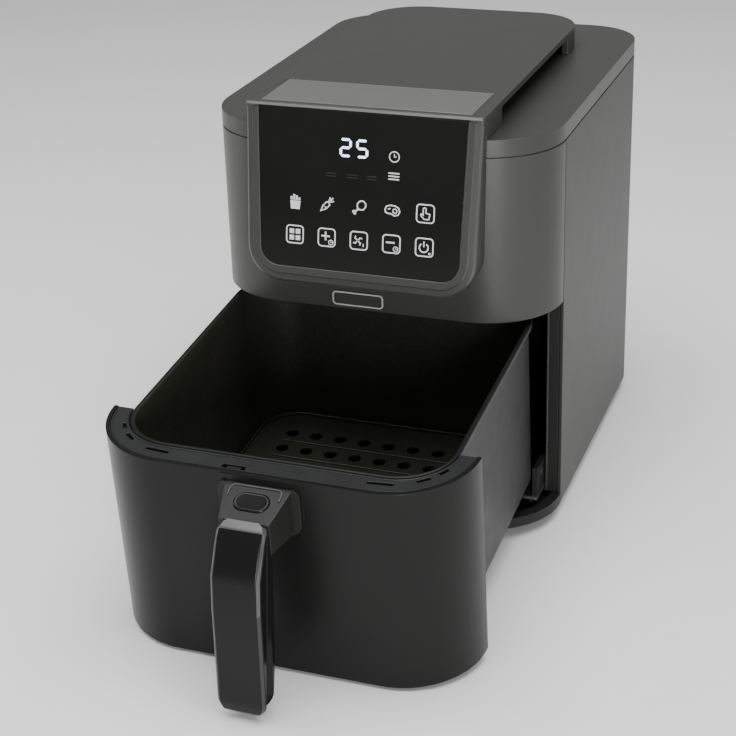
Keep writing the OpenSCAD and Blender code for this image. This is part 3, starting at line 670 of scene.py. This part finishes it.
# Grip, seen from the side: y forward is negative, z up
GRIP_HALF, GRIP_FOOT, GRIP_TOP = 17.0, 28.5, 160.6
FOOT_R, TOP_R = 13.0, 4.5
GRIP = [(-27, 160.6), (-32.8, 157.0), (-37, 151.5), (-49, 131), (-53, 108), (-55, 85), (-57.5, 57),
        (-59.3, 40), (-58.3, 34), (-54.5, 29.6), (-50, 28.5), (-46.5, 31), (-42.5, 37), (-38.5, 50),
        (-35, 62), (-30.5, 92), (-27, 112), (-24, 128), (-23.6, 134), (-27, 138)]


def shrunk(outline, c):
    """The outline (clockwise or not) moved inwards by c."""
    n = len(outline)
    area = sum(outline[i][0] * outline[(i + 1) % n][1] - outline[(i + 1) % n][0] * outline[i][1]
               for i in range(n))
    way = 1 if area > 0 else -1
    out = []
    for i, (x, y) in enumerate(outline):
        a, b = outline[i - 1], outline[(i + 1) % n]
        d1 = Vector((x - a[0], y - a[1])).normalized()
        d2 = Vector((b[0] - x, b[1] - y)).normalized()
        n1, n2 = Vector((-d1.y, d1.x)) * way, Vector((-d2.y, d2.x)) * way
        mid = (n1 + n2).normalized()
        reach = c / max(0.6, mid.dot(n1))
        out.append((x + mid.x * reach, y + mid.y * reach))
    return out


# Across the grip, each with how far the outline is shrunk there: the steps make the chamfers
ACROSS = [(GRIP_HALF, 2.7), (16.6, 2.05), (14.9, 0.35), (14.2, 0.0)]
ACROSS += [(-x, c) for x, c in ACROSS[::-1]]
RIGHT_CHAMFER, LEFT_CHAMFER, END_CUTS = 1, 5, 4


def grip_width(z):
    """Share of the full width at height z: the lower end and the top corners are rounded."""
    for r, depth in ((FOOT_R, GRIP_FOOT + FOOT_R - z), (TOP_R, z - GRIP_TOP + TOP_R)):
        if depth > 0:
            h = min(r, depth)
            return (GRIP_HALF - r + math.sqrt(r * r - h * h)) / GRIP_HALF
    return 1.0


def side_on(y, z, x):
    return pulled(x, y, z)


fine = []
for (y0, z0), (y1, z1) in zip(GRIP, GRIP[1:] + GRIP[:1]):
    cuts = END_CUTS if min(z0, z1) < 45 or max(z0, z1) > 156 else 1
    fine += [(y0 + (y1 - y0) * k / cuts, z0 + (z1 - z0) * k / cuts) for k in range(cuts)]
widths = [grip_width(z) for _, z in fine]
grip_rings = [[(y, z, x * w) for (y, z), w in zip(shrunk(fine, c), widths)] for x, c in ACROSS]

# Gloss cover with broad chamfers and painted highlights: the top and the upper right chamfer are painted bright,
# and some chamfers lower down take a dimmer painted highlight
grip = piece("grip_body", *loft(grip_rings), "drawer", "gloss_black", place=side_on, angle=24,
             edge="gloss_highlight")
grip.data.materials.append(MATERIALS["trim_edge"])
for face in grip.data.polygons[:len(fine) * (len(ACROSS) - 1)]:
    along, strip = face.index % len(fine), face.index // len(fine)
    y, z = fine[along]
    if along < END_CUTS or (strip == RIGHT_CHAMFER and y < -27.5 and z > 125):
        face.material_index = 1
    elif (strip == RIGHT_CHAMFER and y < -45) or (strip == LEFT_CHAMFER and y < -27.5 and z > 105):
        face.material_index = 2
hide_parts("grip_cover", "grip_core")

# A matt pad where the fingers go
back = [(-40.5, 44), (-38.5, 50), (-35, 62), (-30.5, 92), (-27, 112), (-25, 124)]
pad = [(y - 1.2, z) for y, z in back] + [(y + 0.45, z) for y, z in back[::-1]]
piece("grip_pad", *prism(pad, -11, 11), "drawer", "matte_black", bevel=0.35, place=side_on)

SLOPE = math.atan(10 / 27)
SLOPE_Z, BUTTON_U = 170, -14.0


def sloped(x, u, w):
    """x across the bracket, u up its slope, w square to it."""
    c, s = math.cos(SLOPE), math.sin(SLOPE)
    return pulled(x, u * c - w * s, SLOPE_Z + w * c + u * s)


def pill_ring(inset, w):
    pill = rounded(-12 + inset, -7 + inset, 12 - inset, 7 - inset, (7.0 - inset) * 0.999, n=10)
    return [(x, y + BUTTON_U, w) for x, y in pill]


# Release button: a pill with a dished top, square to the slope it sits in
BUTTON = [(0.5, -3.4), (0.1, -3.1), (0.0, -2.6), (0.0, 0.0), (0.25, 0.6), (0.8, 0.95), (1.3, 0.98),
          (1.8, 0.85), (3.6, 0.55), (6.2, 0.45)]
DISH_FROM = 7
button = piece("button_cap", *loft([pill_ring(i, w) for i, w in BUTTON]), "button", "gloss_black",
               "matte_black", place=sloped, angle=60)
button.data.materials.append(MATERIALS["button_top"])
button_foot = len(button.data.polygons) - 2
for face in button.data.polygons:
    if face.index >= DISH_FROM * len(pill_ring(0, 0)) and face.index != button_foot:
        face.material_index = 1
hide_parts("release_button")

# Coil spring under the button
TURNS, COIL_R, WIRE_R, COIL_FOOT, COIL_RISE = 5.5, 3.45, 0.4, -15.5, 11.6
STEPS_ROUND = 20
coil = []
count = int(TURNS * STEPS_ROUND)
for i in range(count + 1):
    a = 2 * math.pi * i / STEPS_ROUND
    lift = COIL_FOOT + COIL_RISE * i / count
    coil.append([((COIL_R + u) * math.cos(a), (COIL_R + u) * math.sin(a) + BUTTON_U, lift + w)
                 for u, w in circle(WIRE_R, 8)])
spring = piece("coil_spring", *loft(coil), "drawer", "bare_steel", place=sloped, angle=60)
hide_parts("button_spring")
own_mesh(spring)

# A moulded lip behind the button, in a lighter colour as a painted highlight, and the plate that carries the
# bracket
lip_bend = [(-17.5, -11), (-17.5, -5.2), (-16.6, -3.2), (-14.6, -2.3)]
lip_bend += [(-x, u) for x, u in lip_bend[::-1]]
piece("bracket_lip", *ribbon(lip_bend, 1.2, -0.6, 0.75), "drawer", "trim_edge", "matte_black", bevel=0.35,
      segments=3, place=sloped)
handle_plate = rounded(-26.5, 147, 29.5, 175.2, 1.5, n=4)
piece("handle_plate", *prism(handle_plate, -0.5, 0.55), "drawer", "drawer_paint", bevel=0.3,
      place=lambda x, z, out: pulled(x, -out, z))


# ---------- floor, lights and camera ----------

# From here on lengths are in metres
FLOOR = 9.0
paper = bpy.data.meshes.new("floor")
paper.from_pydata([(-FLOOR, -FLOOR, 0), (FLOOR, -FLOOR, 0), (FLOOR, FLOOR, 0), (-FLOOR, FLOOR, 0)], [],
                  [(0, 1, 2, 3)])
paper.materials.append(finish("floor_paper", (0.82, 0.82, 0.82), 0.8, vary=0.01, rough_vary=0.02))
floor = bpy.data.objects.new("floor", paper)
bpy.context.scene.collection.objects.link(floor)

world = bpy.data.worlds.new("studio")
world.use_nodes = True
world.node_tree.nodes["Background"].inputs["Color"].default_value = (1, 1, 1, 1)
world.node_tree.nodes["Background"].inputs["Strength"].default_value = 0.32
bpy.context.scene.world = world


def softbox(name, place, aim, width, height, power):
    """A rectangular light at place, turned to aim."""
    data = bpy.data.lights.new(name, "AREA")
    data.shape = "RECTANGLE"
    data.size, data.size_y, data.energy = width, height, power
    obj = bpy.data.objects.new(name, data)
    bpy.context.scene.collection.objects.link(obj)
    obj.location = place
    obj.rotation_euler = (Vector(aim) - Vector(place)).to_track_quat("-Z", "Y").to_euler()


softbox("key_left", (-1.6, -0.2, 0.45), (0, 0, 0.15), 0.3, 0.8, 4)
softbox("key_right", (1.7, -0.75, 1.0), (0, 0, 0.15), 0.4, 1.4, 3)
softbox("key_front", (0.78, -1.75, 0.34), (0, -0.1, 0.2), 0.4, 0.6, 26)
softbox("top", (0.1, -0.35, 2.2), (0, -0.1, 0), 2.2, 2.0, 80)

# Camera: its angles in radians and its place, from a perspective fit to the photograph
AZ, EL, ROLL = 0.3584, 0.4018, -0.0313
CAMERA_PLACE = (0.4022, -1.1188, 0.6771)
back_axis = Vector((math.sin(AZ) * math.cos(EL), -math.cos(AZ) * math.cos(EL), math.sin(EL)))
right0 = (-back_axis).cross(Vector((0, 0, 1))).normalized()
up0 = right0.cross(-back_axis)
right_axis = right0 * math.cos(ROLL) + up0 * math.sin(ROLL)
up_axis = up0 * math.cos(ROLL) - right0 * math.sin(ROLL)
lens = bpy.data.cameras.new("camera")
lens.lens = 84.1
lens.shift_y = -0.092
lens.sensor_width = 36
lens.clip_end = 60
camera = bpy.data.objects.new("camera", lens)
bpy.context.scene.collection.objects.link(camera)
turn = Matrix((right_axis, up_axis, back_axis)).transposed().to_4x4()
camera.matrix_world = Matrix.Translation(CAMERA_PLACE) @ turn
bpy.context.scene.camera = camera

bpy.context.view_layer.update()
